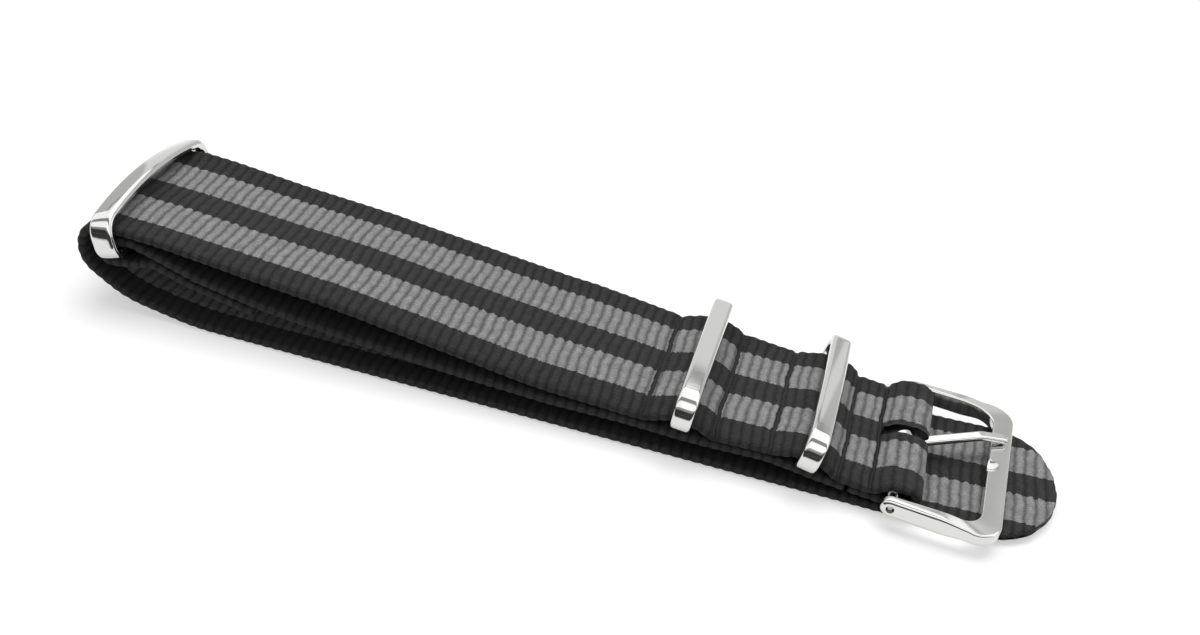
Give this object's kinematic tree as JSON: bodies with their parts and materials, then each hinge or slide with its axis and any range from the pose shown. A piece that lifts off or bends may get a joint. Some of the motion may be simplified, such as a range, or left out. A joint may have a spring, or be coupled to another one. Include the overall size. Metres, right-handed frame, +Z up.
{
  "type": "watch strap",
  "caption": "One-piece woven watch strap with a pin buckle and flat metal rings, folded once and lying on a table.",
  "frame": {"origin": "on the table face, in the middle of the strap's width, straight below the buckle's pivot bar", "axes": "+X along the strap towards its rounded tip, +Y across the strap, +Z up from the table"},
  "size_m": [0.1096, 0.0247, 0.0127],
  "materials": {
    "woven_webbing": "woven nylon webbing, black with two grey stripes along it",
    "polished_steel": "stainless steel, polished bright",
    "drawn_steel": "stainless steel, as drawn and turned"
  },
  "bodies": {
    "strap": {"main_strap": "woven_webbing", "flap_strap": "woven_webbing", "spring_bar_tube": "drawn_steel", "spring_bar_spring": "drawn_steel"},
    "buckle": {"buckle_frame": "polished_steel"},
    "tongue": {"buckle_tongue": "polished_steel"},
    "near_tip": {"spring_bar_tip_near": "drawn_steel"},
    "far_tip": {"spring_bar_tip_far": "drawn_steel"},
    "front_ring": {"front_keeper": "polished_steel"},
    "rear_ring": {"rear_keeper": "polished_steel"},
    "end_ring": {"flap_ring": "polished_steel"}
  },
  "joints": [
    {"name": "buckle_swing", "type": "hinge", "parent": "strap", "child": "buckle", "pos_m": [0, -0.0004, 0.0027], "axis": [-0.0384, -0.9993, 0], "range_deg": [0, 90]},
    {"name": "tongue_swing", "type": "hinge", "parent": "buckle", "child": "tongue", "pos_m": [0, -0.0004, 0.0027], "axis": [-0.0384, -0.9993, 0], "range_deg": [0, 40]},
    {"name": "front_keeper_tilt", "type": "hinge", "parent": "strap", "child": "front_ring", "pos_m": [-0.00986, 0, 0.00374], "axis": [0, 1, 0], "range_deg": [-13, 7]},
    {"name": "rear_keeper_tilt", "type": "hinge", "parent": "strap", "child": "rear_ring", "pos_m": [-0.02342, 0, 0.00457], "axis": [0, 1, 0], "range_deg": [-11, 9]},
    {"name": "flap_ring_tilt", "type": "hinge", "parent": "strap", "child": "end_ring", "pos_m": [-0.0879, 0, 0.00725], "axis": [0, 1, 0], "range_deg": [-1, 19]},
    {"name": "near_tip_press", "type": "slide", "parent": "strap", "child": "near_tip", "axis": [0.0384, 0.9993, 0], "range_m": [0, 0.00095], "stiffness_N_per_m": 1000, "springref_m": -0.0005, "deforming": ["spring_bar_spring"]},
    {"name": "far_tip_press", "type": "slide", "parent": "strap", "child": "far_tip", "axis": [-0.0384, -0.9993, 0], "range_m": [0, 0.00095], "stiffness_N_per_m": 1000, "springref_m": -0.0005, "deforming": ["spring_bar_spring"]}
  ]
}
